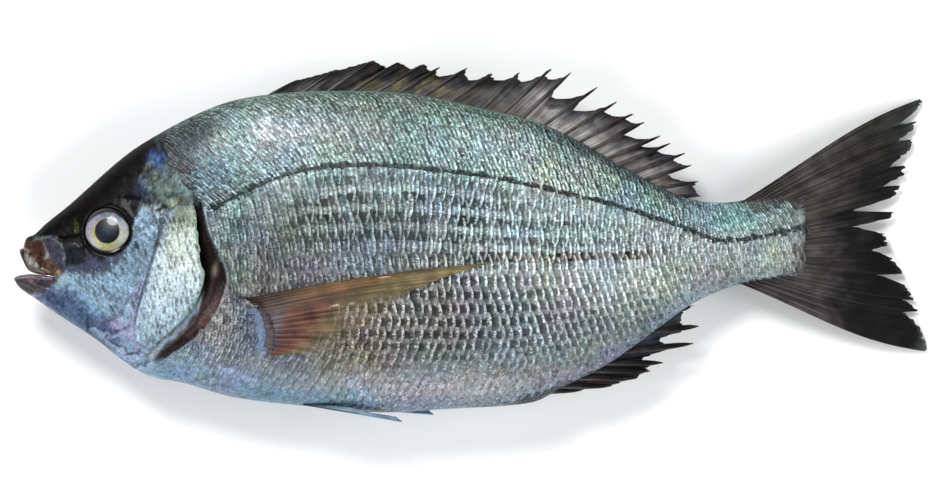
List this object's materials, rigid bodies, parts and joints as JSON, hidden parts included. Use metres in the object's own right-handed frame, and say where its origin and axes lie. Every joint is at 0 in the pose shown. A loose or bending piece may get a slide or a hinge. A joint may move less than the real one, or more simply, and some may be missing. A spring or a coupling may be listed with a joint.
{
  "type": "whole sea bream",
  "caption": "Whole uncooked sea bream on its right side: deep scaled silvery body, dark spiny back fin, forked ragged tail, open mouth, gill cover and folded side fin.",
  "frame": {"origin": "middle of the bounding box, on the surface that the fish lies on", "axes": "+X from the head to the tail, +Y towards the back fin, +Z out of the left flank, which faces up"},
  "size_m": [0.32, 0.1262, 0.037],
  "materials": {
    "skin": "wet scaled skin, silver-green flank and pale blue belly",
    "fin": "thin wet grey-black web over bony rays",
    "mouth": "wet reddish-brown flesh of the lips and gill opening",
    "eye": "clear wet cornea over a silvery iris and a dark pupil"
  },
  "bodies": {
    "root": {"fish": "skin", "eye_left": "eye", "eye_right": "eye"}
  },
  "joints": []
}
